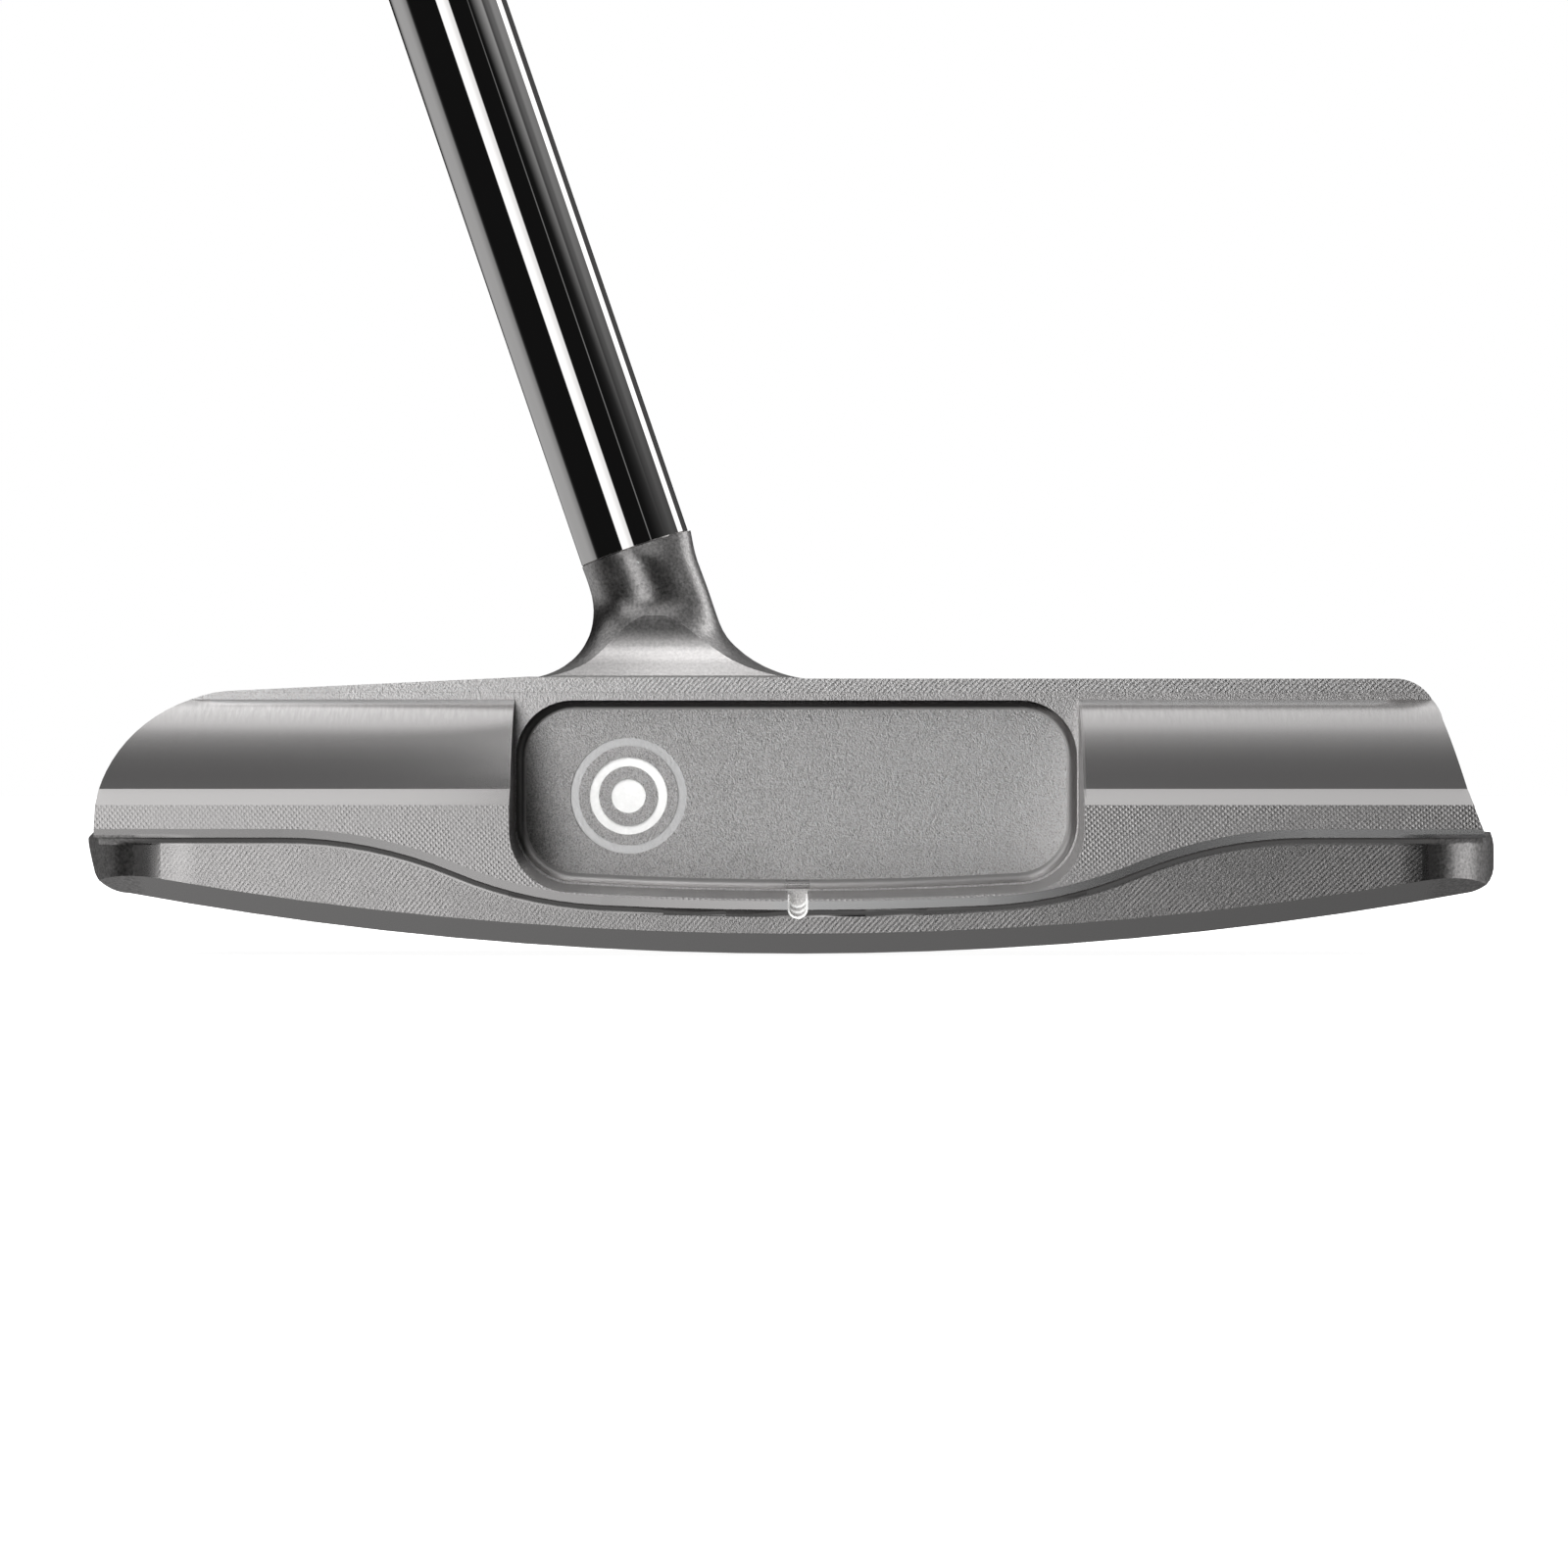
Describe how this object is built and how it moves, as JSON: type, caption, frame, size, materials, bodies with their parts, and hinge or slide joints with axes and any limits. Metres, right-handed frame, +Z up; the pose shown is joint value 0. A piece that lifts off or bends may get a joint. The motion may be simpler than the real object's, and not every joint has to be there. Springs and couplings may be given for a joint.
{
  "type": "blade putter",
  "caption": "Milled steel golf putter with a blade head, centre-mounted leaning shaft, pocketed back, sight line and pistol grip.",
  "frame": {"origin": "lowest point of the sole's rocker, under the sight line, in the plane of the shaft axis", "axes": "+X to the toe, +Y the way the face looks, +Z up with the sole on the ground; the shaft leans to the heel, -X"},
  "size_m": [0.354, 0.0315, 0.8207],
  "materials": {
    "head_steel": "milled stainless steel with fine cutter marks, neck bead-blasted",
    "shaft_black": "mirror-polished black plated steel",
    "epoxy": "cured adhesive",
    "grip_rubber": "matte black moulded rubber with a fine raised pattern",
    "tape": "double-sided paper grip tape",
    "cap_rubber": "smooth firm black rubber",
    "white_paint": "white enamel paint fill"
  },
  "bodies": {
    "root": {"head": "head_steel", "shaft": "shaft_black", "shaft_bond": "epoxy", "grip": "grip_rubber", "grip_tape": "tape", "grip_cap": "cap_rubber", "sight_line_paint": "white_paint", "mark_paint": "white_paint"}
  },
  "joints": []
}
